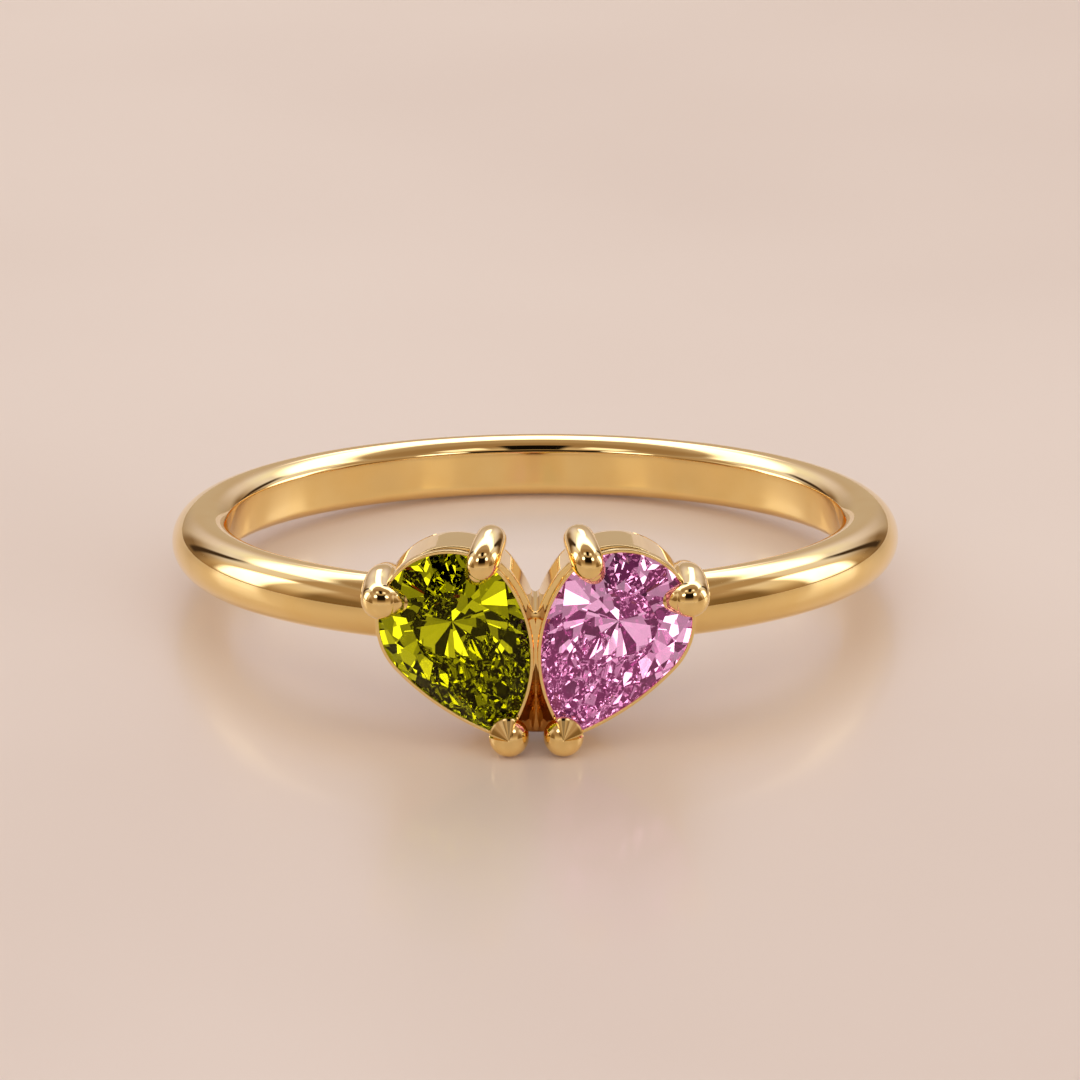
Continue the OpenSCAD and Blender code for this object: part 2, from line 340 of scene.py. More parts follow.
def lightTent(studio):
    world = bpy.data.worlds.new("light_tent")
    world.use_nodes = True
    world.cycles.sampling_method = "NONE"     # so that each kind of ray keeps its own sky
    bpy.context.scene.world = world
    m = NodeMaker(world.node_tree)

    def glow(colour, strength=1.0):
        return m.node("ShaderNodeBackground", {}, {"Color": colour, "Strength": strength})

    way, axes = mirroredWay(m, m.node("ShaderNodeTexCoord", out=0))
    plain = glow(tentTone(m, axes))
    lights = glow(studio["boxColour"], tentLights(m, way, axes, studio))
    both = m.node("ShaderNodeAddShader", {}, {0: plain, 1: lights})
    # the floor is lit by a soft even sky that is a little stronger overhead and in front
    rise, front = studio["softRise"], studio["softFront"]
    evenness = 1 - rise + rise * axes["z"].between(0.0, 0.8)
    evenness = evenness * (1 + front - 2 * front * axes["y"].between(-0.6, 0.6))
    skies = [("Is Transmission Ray", m.node("ShaderNodeBackground", {}, sparkle(m, way, studio))),
             ("Is Diffuse Ray", glow(studio["softLight"], evenness * studio["softPower"])),
             ("Is Camera Ray", glow(studio["seenColour"]))]
    for kind, sky in skies:
        isKind = m.node("ShaderNodeLightPath", out=kind)
        both = m.node("ShaderNodeMixShader", {}, {0: isKind, 1: both, 2: sky})
    m.node("ShaderNodeOutputWorld", {}, {"Surface": both})


def paleFloor(studio):
    bm = bmesh.new()
    bmesh.ops.create_circle(bm, cap_ends=True, segments=studio["floorSides"],
                             radius=studio["floorR"])
    mesh = bpy.data.meshes.new("floor")
    bm.to_mesh(mesh)
    bm.free()
    floor = bpy.data.objects.new("floor", mesh)
    bpy.context.scene.collection.objects.link(floor)
    material, m = newMaterial("pale_floor")
    where = m.place()
    cloud = m.noise(where, 18.0, 3.0)
    colour = m.blend(cloud.between(0.35, 0.65), studio["floorColour"], studio["floorDeep"])
    rough = studio["floorRoughnessSpread"] * m.noise(where, 60.0, 4.0)
    rough = studio["floorRoughness"] + rough
    shader = m.node("ShaderNodeBsdfPrincipled", {}, {"Base Color": colour, "Roughness": rough,
                                                     "Coat Weight": studio["floorCoat"],
                                                     "Coat Roughness": studio["floorCoatRoughness"],
                                                     "Emission Color": colour,
                                                     "Emission Strength": studio["floorFill"]})
    # the stones see the dark tent and its openings below them as well
    fromHead = m.node("ShaderNodeVectorMath", {"operation": "SUBTRACT"},
                      {0: where, 1: studio["headAt"]})
    fromHead = m.node("ShaderNodeVectorMath", {"operation": "NORMALIZE"}, {0: fromHead})
    below = m.node("ShaderNodeEmission", {}, sparkle(m, mirroredWay(m, fromHead)[0], studio))
    fromStone = m.node("ShaderNodeLightPath", out="Is Transmission Ray")
    both = m.node("ShaderNodeMixShader", {}, {0: fromStone, 1: shader, 2: below})
    m.node("ShaderNodeOutputMaterial", {}, {"Surface": both})
    mesh.materials.append(material)


lightTent(studio)
paleFloor(studio)
print("studio set")

# Finishes: patterns are in millimetres. The web's gold has painted shade down its groove and on the
# valley's flanks, for the dark reflections between the cups.
gold = {
    "colour": (1.0, 0.766, 0.336, 1),
    "warm": (0.985, 0.735, 0.30, 1),
    "roughness": 0.03,
    "roughnessSpread": 0.035,
    "cloudScale": 0.9,
    "grainScale": 14.0,
    "hairlineScales": (40, 3, 9),
    "hairlineRoughness": 0.04,
    "hairlineHeight": 0.3,
    "bumpStrength": 0.02,
    "scratchDepth": 0.000002,
    "paintedShade": (0.48, 0.23, 0.06, 1),
    "grooveHeights": (2.9, 0.8),        # above the floor: where the painted shade begins and is full
    "flankSides": (0.03, 0.14),
    "flankHeights": (3.2, 3.5),
    "flankShare": 0.8,
}


def polishedGold(name, look, shadePainted=False):
    material, m = newMaterial(name)
    where = m.placeInMm()
    cloud = m.noise(where, look["cloudScale"], 3.0)
    grain = m.noise(where, look["grainScale"], 4.0)
    hairline = m.noise(m.scaled(where, look["hairlineScales"]), 1.0, 2.0)
    rough = look["roughness"] + look["roughnessSpread"] * (cloud.between(0.42, 0.66) * grain)
    rough = rough + look["hairlineRoughness"] * hairline.between(0.66, 0.74)
    colour = m.blend(cloud.between(0.35, 0.7), look["colour"], look["warm"])
    if shadePainted:
        # painted shade: the web's gold turns darker down its groove and on the valley's flanks, for
        # the dark reflections there
        x, up = (m.node("ShaderNodeSeparateXYZ", {}, {0: where}, out=i) for i in (0, 2))
        flanks = abs(x).between(*look["flankSides"]) * up.between(*look["flankHeights"])
        flanks = flanks * look["flankShare"]
        shade = flanks.calc("MAXIMUM", flanks, up.between(*look["grooveHeights"]))
        colour = m.blend(shade, colour, look["paintedShade"])
    height = hairline.between(0.6, 0.7) * look["hairlineHeight"] + grain
    bump = m.node("ShaderNodeBump", {}, {"Height": height, "Strength": look["bumpStrength"],
                                         "Distance": look["scratchDepth"]})
    shader = m.node("ShaderNodeBsdfPrincipled", {}, {"Base Color": colour, "Metallic": 1.0,
                                                     "Roughness": rough, "Normal": bump})
    m.node("ShaderNodeOutputMaterial", {}, {"Surface": shader})
    return material


# shine tints what the crown reflects, absorb is the colour after a metre of stone at density 1,
# foil and body are the pavilion's colour seen from inside and from outside, and glow and
# bodyPaintedGlow are its painted glow inside and outside, for light that a real stone lets through
gemLooks = {
    "green": {"tint": (0.57, 0.52, 0.026, 1), "tintDeep": (0.52, 0.48, 0.020, 1),
              "ior": 2.4, "wear": 0.012, "foilHaze": 0.01,
              "absorb": (0.85, 0.85, 0.0, 1), "density": 250.0,
              "shine": (0.13, 0.12, 0.03, 1),
              "foil": (0.99, 0.99, 0.85, 1), "foilDeep": (0.97, 0.98, 0.80, 1),
              "glow": (0.0, 0.0, 0.0, 1),
              "body": (0.40, 0.40, 0.05, 1), "bodyPaintedGlow": (0.12, 0.13, 0.008, 1)},
    "pink": {"tint": (1.0, 0.50, 0.78, 1), "tintDeep": (0.99, 0.44, 0.74, 1),
             "ior": 2.4, "wear": 0.012, "foilHaze": 0.01,
             "absorb": (0.95, 0.70, 0.84, 1), "density": 60.0,
             "shine": (0.85, 0.24, 0.66, 1),
             "foil": (1.0, 0.98, 0.99, 1), "foilDeep": (0.99, 0.96, 0.98, 1),
             "glow": (0.015, 0.004, 0.010, 1),
             "body": (0.45, 0.16, 0.33, 1), "bodyPaintedGlow": (0.40, 0.12, 0.30, 1)},
}


def gemGlass(name, look):
    material, m = newMaterial(name)
    where = m.placeInMm()
    zoning = m.noise(where, 0.8, 2.0, 0.6)
    wear = m.noise(where, 6.0, 4.0)
    colour = m.blend(zoning.between(0.35, 0.65), look["tint"], look["tintDeep"])
    rough = look["wear"] * wear.between(0.45, 0.75)
    shader = m.node("ShaderNodeBsdfPrincipled", {}, {"Base Color": colour, "Roughness": rough,
                                                     "IOR": look["ior"],
                                                     "Specular Tint": look["shine"],
                                                     "Transmission Weight": 1.0})
    volume = m.node("ShaderNodeVolumeAbsorption", {}, {"Color": look["absorb"],
                                                       "Density": look["density"]})
    m.node("ShaderNodeOutputMaterial", {}, {"Surface": shader, "Volume": volume})
    return material


def foilBack(name, look):
    # bright foil behind the stone, which sends the light back out of the front
    material, m = newMaterial(name)
    where = m.placeInMm()
    haze = m.noise(where, 4.0, 3.0)
    colour = m.blend(haze.between(0.35, 0.65), look["foil"], look["foilDeep"])
    inside = m.node("ShaderNodeNewGeometry", out="Backfacing")
    colour = m.blend(inside, look["body"], colour)
    # the other stone, which may see this one's back, doesn't pick up its colour
    fromStone = m.node("ShaderNodeLightPath", out="Is Transmission Ray")
    # painted glow: seen from outside, the back glows with bodyPaintedGlow; seen from inside the
    # stone, and by the other stone, it glows with glow; both stand in for light a real stone lets
    # through
    glow = m.blend(inside.calc("MAXIMUM", inside, fromStone), look["bodyPaintedGlow"], look["glow"])
    shader = m.node("ShaderNodeBsdfPrincipled", {}, {"Base Color": colour, "Metallic": inside,
                                                     "Roughness": look["foilHaze"] * haze,
                                                     "Emission Color": glow,
                                                     "Emission Strength": 1.0})
    m.node("ShaderNodeOutputMaterial", {}, {"Surface": shader})
    return material


goldFinish = polishedGold("polished_gold", gold)
grooveShadedGold = polishedGold("groove_gold_painted_shade", gold, True)
greenGlass = gemGlass("green_gem", gemLooks["green"])
pinkGlass = gemGlass("pink_gem", gemLooks["pink"])
greenFoil = foilBack("green_foil", gemLooks["green"])
pinkFoil = foilBack("pink_foil", gemLooks["pink"])
print("finishes made")


# Mesh helpers: everything is drawn for the left half, and mirrored across X for the right one
def addPiece(name, points, faces, finishes, nodes, mirrored=False, sharpAngle=32.0,
             flat=False, which=None):
    points = np.array(points, float)
    if mirrored:
        points = points * [-1, 1, 1]
        faces = [tuple(reversed(face)) for face in faces]
    matrix = np.array(layDown)
    placed = points @ matrix[:3, :3].T + matrix[:3, 3]
    mesh = bpy.data.meshes.new(name)
    mesh.from_pydata(placed.tolist(), [], faces)
    mesh.polygons.foreach_set("use_smooth", [not flat] * len(mesh.polygons))
    if not flat:
        mesh.set_sharp_from_angle(angle=math.radians(sharpAngle))
    for finish in finishes:
        mesh.materials.append(finish)
    if which:
        mesh.polygons.foreach_set("material_index", which)
    mesh.validate()
    piece = bpy.data.objects.new(name, mesh)
    bpy.context.scene.collection.objects.link(piece)
    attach(piece, "root")
    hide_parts(*nodes)
    return piece


def addGold(name, parts, mirrored=False, sharpAngle=32.0, seat=None, finish=None):
    # seat is the finish of the faces where a claw sits on a stone
    points, faces = joined([part[:2] for part in parts])
    finishes, which = [finish or goldFinish], None
    if seat:
        finishes.append(seat)
        which = [i for part in parts for i in (part[2] if len(part) > 2 else [0] * len(part[1]))]
    piece = addPiece(name, points, faces, finishes, ["band_and_settings"], mirrored,
                     sharpAngle, which=which)
    piece.visible_transmission = False       # the stones show the light tent, not their claws
    return piece


def joined(parts):
    points, faces, start = [], [], 0
    for partPoints, partFaces in parts:
        points.extend(np.asarray(partPoints, float).tolist())
        faces.extend(tuple(i + start for i in face) for face in partFaces)
        start += len(partPoints)
    return points, faces


def skin(rows, closedAcross=True, closedAlong=False, capFirst=False, capLast=False):
    # quads between rows of points of equal length
    count, wide = len(rows), len(rows[0])
    points = np.concatenate(rows)
    faces = []
    for j in range(count if closedAlong else count - 1):
        k = (j + 1) % count
        for i in range(wide if closedAcross else wide - 1):
            h = (i + 1) % wide
            faces.append((j * wide + i, j * wide + h, k * wide + h, k * wide + i))
    if capFirst:
        faces.append(tuple(range(wide - 1, -1, -1)))
    if capLast:
        faces.append(tuple((count - 1) * wide + i for i in range(wide)))
    return points, faces


def eased(part):
    # from 0 to 1 with a soft start and end, and level outside
    part = np.clip(part, 0, 1)
    return part * part * (3 - 2 * part)


def smoothPath(stops, perSpan=14):
    # a curve through the stops, each a row of numbers, with even steps in each span
    stops = np.array(stops, float)
    ends = np.vstack([2 * stops[0] - stops[1], stops, 2 * stops[-1] - stops[-2]])
    rows = []
    for a, b, c, d in zip(ends, ends[1:], ends[2:], ends[3:]):
        for t in np.linspace(0, 1, perSpan, endpoint=False):
            rows.append(0.5 * (2 * b + (c - a) * t + (2 * a - 5 * b + 4 * c - d) * t * t
                               + (3 * b - 3 * c + d - a) * t ** 3))
    rows.append(stops[-1])
    return np.array(rows)


def tube(stops, around=36, perSpan=14, capStep=6):
    # round-ended tube through stops of x, y, z and radius
    rows = smoothPath(stops, perSpan)
    spine, radii = rows[:, :3], rows[:, 3]
    ways = np.gradient(spine, axis=0)
    ways /= np.linalg.norm(ways, axis=1)[:, None]
    across = np.cross(ways[0], [0, 0, 1])
    if np.linalg.norm(across) < 0.1:
        across = np.cross(ways[0], [1, 0, 0])
    turns = np.linspace(0, 2 * math.pi, around, endpoint=False)
    rings = []

    def ring(centre, way, radius):
        nonlocal across
        across = across - way * across.dot(way)
        across = across / np.linalg.norm(across)
        other = np.cross(way, across)
        rings.append(centre + radius * (np.outer(np.cos(turns), across)
                                        + np.outer(np.sin(turns), other)))

    def cap(end, way, angles, sign):
        for angle in angles:
            ring(spine[end] + sign * way * radii[end] * math.cos(angle), way,
                 radii[end] * math.sin(angle))

    capSteps = np.radians(np.arange(capStep, 90, capStep))
    cap(0, ways[0], capSteps, -1)
    for centre, way, radius in zip(spine, ways, radii):
        ring(centre, way, radius)
    cap(-1, ways[-1], capSteps[::-1], 1)
    return skin(rings, capFirst=True, capLast=True)


# Stone outline: a round end and two arcs that meet in the point, turned so that the point leans
# to the middle. The inner arc is the fuller one.
pear = {
    "endR": 1.79,
    "pointL": 3.35,
    "innerLeave": -10.5,    # where each arc leaves the round end, in degrees
    "outerLeave": 18.0,
    "lean": 25.0,
    "gap": 0.28,            # between the two stones
    "z": 0.62,
    "girdleY": -12.4,
    "sideSteps": 36,
    "roundSteps": 72,
}


class PearOutline:
    def __init__(self, pear):
        self.pear = pear
        r, l = pear["endR"], pear["pointL"]
        self.arcs = {}
        for sideName, way in (("inner", -1), ("outer", 1)):
            leave = pear[sideName + "Leave"]
            lift = math.sin(math.radians(leave))
            reach = (l * l - r * r) / (2 * (r - l * lift))
            centre = np.array([way * reach * math.cos(math.radians(leave)), reach * lift])
            self.arcs[sideName] = (centre, reach + r)
        lean = math.radians(pear["lean"])
        self.turn = np.array([[math.cos(lean), -math.sin(lean)],
                              [math.sin(lean), math.cos(lean)]])
        innerC, innerR = self.arcs["inner"]
        self.middle = np.array([-pear["gap"] / 2 - innerR - (self.turn @ innerC)[0], pear["z"]])

    def points(self, grow, sideSteps=None, roundSteps=None):
        # round the stone from its point, up the inner arc first; grow moves it outward
        pear = self.pear
        sideSteps = sideSteps or pear["sideSteps"]
        roundSteps = roundSteps or pear["roundSteps"]
        (a, ra), (b, rb) = self.arcs["inner"], self.arcs["outer"]
        ra, rb = ra + grow, rb + grow
        span = np.linalg.norm(b - a)
        along = (b - a) / span
        reach = (span ** 2 + ra ** 2 - rb ** 2) / (2 * span)
        off = math.sqrt(ra ** 2 - reach ** 2)
        tip = a + reach * along + off * np.array([along[1], -along[0]])
        innerFrom = math.atan2(tip[1] - a[1], tip[0] - a[0])
        outerTo = math.atan2(tip[1] - b[1], tip[0] - b[0]) + 2 * math.pi
        roundFrom = -math.radians(pear["innerLeave"])
        roundTo = math.pi + math.radians(pear["outerLeave"])
        spans = ((a, ra, innerFrom, roundFrom, sideSteps),
                 (np.zeros(2), pear["endR"] + grow, roundFrom, roundTo, roundSteps),
                 (b, rb, roundTo, outerTo, sideSteps))
        rows = []
        for centre, radius, start, stop, steps in spans:
            angles = np.linspace(start, stop, steps, endpoint=False)
            rows.append(centre + radius * np.stack([np.cos(angles), np.sin(angles)], axis=1))
        return self.placed(np.concatenate(rows))

    def placed(self, flat):
        return flat @ self.turn.T + self.middle

    def roundEnd(self, angle, out, y):
        radius = self.pear["endR"] + out
        angle = math.radians(angle)
        x, z = self.middle + radius * np.array([math.cos(angle), math.sin(angle)])
        return [x, y, z]


def raised(flat, y):
    # from x and z to x, y and z
    return np.stack([flat[:, 0], np.full(len(flat), y), flat[:, 1]], axis=1)


outline = PearOutline(pear)

# Band: round wire with a flat inside, lower at top and bottom behind the head
band = {
    "fingerR": 8.25,
    "wireRingR": lie["wireRingR"],
    "wireR": lie["wireR"],
    "lowH": 0.8,
    "lowReach": 3.9,
    "edgeR": 0.05,      # rounded edge between the flat inside and the wire
    "steps": 288,
    "wireSteps": 56,
    "flatSteps": 9,
}


def bandSection(band):
    r, flatX = band["wireR"], band["fingerR"] - band["wireRingR"]
    corner = math.acos(flatX / r)
    soft = band["edgeR"] / r
    rounds = np.linspace(-(corner - soft), corner - soft, band["wireSteps"])
    section = [(r * math.cos(a), r * math.sin(a)) for a in rounds]
    top = np.array([r * math.cos(corner), r * math.sin(corner)])
    start = np.array(section[-1])
    stop = top - [0, band["edgeR"]]
    edge = [(1 - t) ** 2 * start + 2 * t * (1 - t) * top + t * t * stop
            for t in (0.25, 0.5, 0.75, 1.0)]
    flat = [np.array([flatX, z]) for z in np.linspace(stop[1], -stop[1], band["flatSteps"])[1:-1]]
    low = [np.array([p[0], -p[1]]) for p in edge[::-1]]
    return np.array(section + [tuple(p) for p in edge + flat + low])


def addBand(band):
    section = bandSection(band)
    drop = band["wireR"] - band["lowH"] / 2
    cutR = (band["lowReach"] ** 2 + drop ** 2) / (2 * drop)
    radius = band["wireRingR"] + section[:, 0]
    rows = []
    for angle in np.linspace(0, 2 * math.pi, band["steps"], endpoint=False):
        x, y = radius * math.sin(angle), -radius * math.cos(angle)
        near = (np.abs(x) < band["lowReach"]) & (y < 0)
        inCut = np.clip(cutR ** 2 - x ** 2, 0, None)
        limit = np.where(near, band["lowH"] / 2 + cutR - np.sqrt(inCut), band["wireR"] + 1)
        z = np.clip(section[:, 1], -limit, limit)
        rows.append(np.stack([x, y, z], axis=1))
    addGold("band", [skin(rows, closedAlong=True)])


addBand(band)
print("band made")

# Cups: thin rounded lip round the girdle, a ledge and wall that stand off towards the middle,
# and a foot that narrows to the band. Depths count from the girdle to the back, outs count from
# the girdle's outline, and shifts move a row sideways and up.
cup = {
    "ownSide": -0.0004,        # each cup keeps to its own side of this
    "seatRows": [(-0.26, 0.34), (-0.02, 0.1), (0.006, 0.06)],   # out and depth, inside
    "lipOut": 0.09,
    "lipInner": 0.006,
    "lipTop": -0.08,
    "lipEdge": 0.012,
    "ledge": 0.16,
    "ledgeEdge": 0.1,          # share of the ledge that its inner edge takes
    "edge": 0.03,
    "wallOut": 0.13,
    "wallShift": (0.13, 0.02),
    "wallLow": (-0.9, -0.1),   # heights over which the wall closes up to the lip
    "wallRows": 9,
    "wallReach": 2.3,          # how far back the last of those rows would be
    "soften": 0.02,
    "back": 2.4,
    "backOut": 0.08,
    "backShift": (0.2, -0.04),
    "foot": 3.3,
    "footIn": 0.4,
    "footShift": (0.25, -0.08),
    "wallThick": 0.4,
}


def between(first, second, part):
    return first * (1 - part) + second * part


def outermost(first, second):
    # of two outlines, whichever stands further out at each place, with a soft change-over
    centre = outline.middle
    outward = first - centre
    outward /= np.linalg.norm(outward, axis=1)[:, None]
    lead = ((second - first) * outward).sum(axis=1)
    return between(first, second, eased(lead / cup["soften"])[:, None])


def addCup(name, mirrored):
    lip = outline.points(cup["lipOut"])
    rows = []

    def addRow(flat, depth):
        flat = np.array(flat)
        flat[:, 0] = np.minimum(flat[:, 0], cup["ownSide"])
        rows.append(raised(flat, pear["girdleY"] + depth))

    def shifted(out, shift):
        return outline.points(out) + np.array(cup[shift])

    # up the inside to the lip, and over it
    addRow(shifted(-cup["footIn"] - cup["wallThick"], "footShift"), cup["foot"])
    addRow(shifted(cup["backOut"] - cup["wallThick"], "backShift"), cup["back"])
    for out, depth in cup["seatRows"]:
        addRow(outline.points(out), depth)
    soft = cup["lipEdge"]
    for angle in np.radians([180, 150, 120, 90]):
        addRow(outline.points(cup["lipInner"] + soft * (1 + math.cos(angle))),
               cup["lipTop"] + soft * (1 - math.sin(angle)))
    for angle in np.radians([90, 60, 30, 0]):
        addRow(outline.points(cup["lipOut"] + 2 * soft * (math.cos(angle) - 1)),
               cup["lipTop"] + 2 * soft * (1 - math.sin(angle)))
    # down to the ledge, over its edge, and down the wall to the foot
    ledge, wallTopY = cup["ledge"], cup["ledge"] + cup["edge"]
    addRow(lip, ledge - soft)
    low, high = cup["wallLow"]
    opened = eased((lip[:, 1] - low) / (high - low))[:, None]
    wallTop = outermost(lip, shifted(cup["wallOut"] - cup["edge"], "wallShift"))
    wallTop = between(lip, wallTop, opened)
    wall = between(lip, outermost(lip, shifted(cup["wallOut"], "wallShift")), opened)
    addRow(between(lip, wallTop, cup["ledgeEdge"]), ledge)
    addRow(wallTop, ledge)
    for turn in np.array([0.3, 0.6, 0.85]) * math.pi / 2:
        addRow(between(wallTop, wall, math.sin(turn)), ledge + cup["edge"] * (1 - math.cos(turn)))
    addRow(wall, wallTopY)
    back = shifted(cup["backOut"], "backShift")
    for part in np.linspace(0, 1, cup["wallRows"])[1:-1]:
        addRow(between(wall, back, part), wallTopY + cup["wallReach"] * part)
    addRow(back, cup["back"])
    addRow(shifted(-cup["footIn"], "footShift"), cup["foot"])
    addGold(name, [skin(rows, closedAlong=True)], mirrored)


addCup("left_cup", False)
addCup("right_cup", True)
print("cups made")

# Web between the cups: a rounded valley on top, an upright front with a groove that runs deeper
# lower down, and a stem back to the band
web = {
    "valleyZ": 0.83,
    "valleyR": 0.15,
    "valleyHalfW": 0.2,
    "valleyRows": 12,
    "slope": 1.487,
    "frontY": -12.34,
    "grooveY": -12.25,      # the groove's edges, high up and low down
    "lowFrontY": -11.9,
    "grooveDeep": 0.3,      # how far the groove runs back in the middle, high up and low down
    "lowDeep": 0.7,
    "grooveTop": 0.72,      # height at which it begins
    "grooveOver": 0.3,      # drop over which it opens
    "lowOver": 1.4,         # drop, from the ring's middle plane, over which it deepens
    "grooveRows": 44,
    "mostReach": 0.7,
    "backY": -10.0,
    "backTop": 0.6,
    "backRows": 10,
    "footZ": -2.64,
    "footStep": 0.05,
    "heelZ": -2.1,
    "heelStep": 0.1,
    "edge": 0.06,
    "overlap": 0.05,        # into the stones' space, under the cups' lips
    "stemHalfW": 0.5,
    "stemFrontY": -10.5,
    "stemBackY": -8.85,
    "stemHalfH": 0.4,
    "stemEdge": 0.08,
    "columns": 29,
    "arcSteps": 360,
}

# the stone's inner side as a fine arc, from its point to the top of its round end
innerArc = outline.points(web["overlap"], web["arcSteps"], 2 * web["arcSteps"])
innerArc = innerArc[:2 * web["arcSteps"]]


def innerReach(z):
    # how far from the middle the web may go at a height, before it is past the cups' lips
    return min(-float(np.interp(z, innerArc[:, 1], innerArc[:, 0])), web["mostReach"])


def valleyTop(x):
    return web["valleyZ"] - web["valleyR"] + math.hypot(web["valleyR"], web["slope"] * x)


def addWeb(web):
    across = np.linspace(-1, 1, web["columns"])
    frontY, edge, foot, heel = web["frontY"], web["edge"], web["footZ"], web["heelZ"]
    rows = []

    def valleyRow(y, down):
        rows.append([(x, y, valleyTop(x) - down) for x in across * web["valleyHalfW"]])

    def levelRow(edgeY, deep, z):
        reach = innerReach(z)
        rows.append([(reach * u, edgeY + deep * (1 - u * u), z) for u in across])

    for y in np.linspace(web["backY"], frontY + edge, web["valleyRows"]):
        valleyRow(y, 0)
    for angle in np.radians([22.5, 45, 67.5, 90]):
        valleyRow(frontY + edge * (1 - math.sin(angle)), edge * (1 - math.cos(angle)))
    for z in np.linspace(web["grooveTop"], foot + web["footStep"], web["grooveRows"]):
        opened = eased((web["grooveTop"] - z) / web["grooveOver"])
        low = eased(-z / web["lowOver"])
        edgeY = frontY + (web["grooveY"] - frontY) * opened
        deep = web["grooveDeep"] * opened
        levelRow(edgeY + (web["lowFrontY"] - web["grooveY"]) * low,
                 deep + (web["lowDeep"] - web["grooveDeep"]) * low, z)
    levelRow(web["lowFrontY"] + web["lowDeep"] + web["footStep"], 0, foot)
    levelRow(web["backY"], 0, heel)
    for z in np.linspace(heel + web["heelStep"], web["backTop"], web["backRows"]):
        levelRow(web["backY"], 0, z)
    body = skin([np.array(row) for row in rows], closedAcross=False, closedAlong=True)
    stem = roundedBar(web["stemHalfW"], web["stemHalfH"], web["stemFrontY"], web["stemBackY"],
                      web["stemEdge"])
    addGold("web", [body, stem], finish=grooveShadedGold)


def roundedBar(halfW, halfH, frontY, backY, edge):
    turns = np.radians([0, 22.5, 45, 67.5, 90])
    corner = [(halfW - edge + edge * math.cos(a), halfH - edge + edge * math.sin(a)) for a in turns]
    flat = []
    for sx, sz, order in ((1, 1, 1), (-1, 1, -1), (-1, -1, 1), (1, -1, -1)):
        flat.extend([(sx * x, sz * z) for x, z in corner][::order])
    flat = np.array(flat)
    return skin([raised(flat, frontY), raised(flat, backY)], capFirst=True, capLast=True)


addWeb(web)
print("web made")

# Stones: a pear brilliant, cut plane by plane from a blank with the girdle's outline
cut = {
    "girdleT": 0.1,
    "crownH": 0.5,
    "pavilionH": 1.5,
    "tableScale": 0.56,
    "starScale": 0.8,
    "starRise": 0.62,
    "waistScale": 0.3,
    "waistDrop": 0.76,
    "culet": (0.05, -0.12),
    "sideMarks": 24,        # marks along each side of the girdle and round its end
    "endMarks": 48,
    "mains": 8,             # crown facets that reach from the table to the girdle
    "pavilionMains": 16,
    "blank": 20.0,          # half the width of the square that each facet is cut from
    "tolerance": 1e-7,
    "weld": 1e-4,
    "foilFrom": -0.1,       # faces that look further back than this are foiled
}
marks = outline.points(0.0, cut["sideMarks"], cut["endMarks"])    # the first is at the point
stoneHeart = np.array([outline.middle[0], pear["girdleY"], outline.middle[1]])


def cutPlanes(cut):
    # three corners for each facet of the crown and the pavilion
    culet = outline.placed(np.array([cut["culet"]]))[0]
    frontY, rearY = (pear["girdleY"] + way * cut["girdleT"] / 2 for way in (-1, 1))

    def mark(index, scale, y):
        flat = culet + scale * (marks[index % len(marks)] - culet)
        return Vector((flat[0], y, flat[1]))

    tableY = frontY - cut["crownH"]
    planes = []
    step = len(marks) // cut["mains"]
    for here in range(0, len(marks), step):
        half, there = here + step // 2, here + step
        lastStar, star = (mark(i, cut["starScale"], frontY - cut["crownH"] * cut["starRise"])
                          for i in (half - step, half))
        low, middle, high = (mark(i, 1, frontY) for i in (here, half, there))
        planes.append([mark(i, cut["tableScale"], tableY) for i in (here, there)] + [star])
        planes.append((low, star, lastStar))
        planes.append((star, low, middle))
        planes.append((star, middle, high))
    step = len(marks) // cut["pavilionMains"]
    for here in range(0, len(marks), step):
        half, there = here + step // 2, here + step
        waist = mark(half, cut["waistScale"], rearY + cut["pavilionH"] * cut["waistDrop"])
        low, middle, high = (mark(i, 1, rearY) for i in (here, half, there))
        if here > 0:      # across the point the side facets meet in a ridge instead
            beside = mark(here + 1, 1, rearY) - mark(here - 1, 1, rearY)
            planes.append((low, low + beside, mark(0, 0, rearY + cut["pavilionH"])))
        planes.append((waist, low, middle))
        planes.append((waist, middle, high))
    return planes, tableY


def clipped(corners, spot, way):
    # the part of a flat polygon that lies behind a plane
    heights = (corners - spot) @ way
    kept = []
    nextCorners, nextHeights = np.roll(corners, -1, axis=0), np.roll(heights, -1)
    for here, there, h, t in zip(corners, nextCorners, heights, nextHeights):
        if h <= 0:
            kept.append(here)
        if (h < 0 < t) or (t < 0 < h):
            kept.append(here + (there - here) * h / (h - t))
    return np.array(kept)


def allPlanes(cut):
    # a spot and an outward direction for the table, every other facet, and the girdle's sides
    planes, tableY = cutPlanes(cut)
    spots, ways = [stoneHeart * [1, 0, 1] + [0, tableY, 0]], [np.array([0.0, -1.0, 0.0])]

    def add(spot, way):
        spots.append(spot)
        ways.append(way / np.linalg.norm(way) * math.copysign(1, way @ (spot - stoneHeart)))

    for a, b, c in planes:
        add(np.array(a), np.cross(b - a, c - a))
    girdle = raised(marks, pear["girdleY"])
    for a, b in zip(girdle, np.roll(girdle, -1, axis=0)):
        add(a, np.cross(b - a, [0, 1, 0]))
    return np.array(spots), np.array(ways)


def facet(index, spots, ways):
    # a wide square on one plane, clipped by all the others
    way = ways[index]
    u = np.cross(way, [0.31, 0.22, 0.93])       # any direction that no facet faces
    u /= np.linalg.norm(u)
    v = np.cross(way, u)
    corners = spots[index] + cut["blank"] * np.array([u + v, v - u, -u - v, u - v])
    for _ in range(len(spots)):
        over = ((corners[:, None] - spots) * ways).sum(axis=2).max(axis=0)
        over[index] = 0
        worst = int(over.argmax())
        if over[worst] < cut["tolerance"]:
            break
        corners = clipped(corners, spots[worst], ways[worst])
        if len(corners) < 3:
            break
    return corners


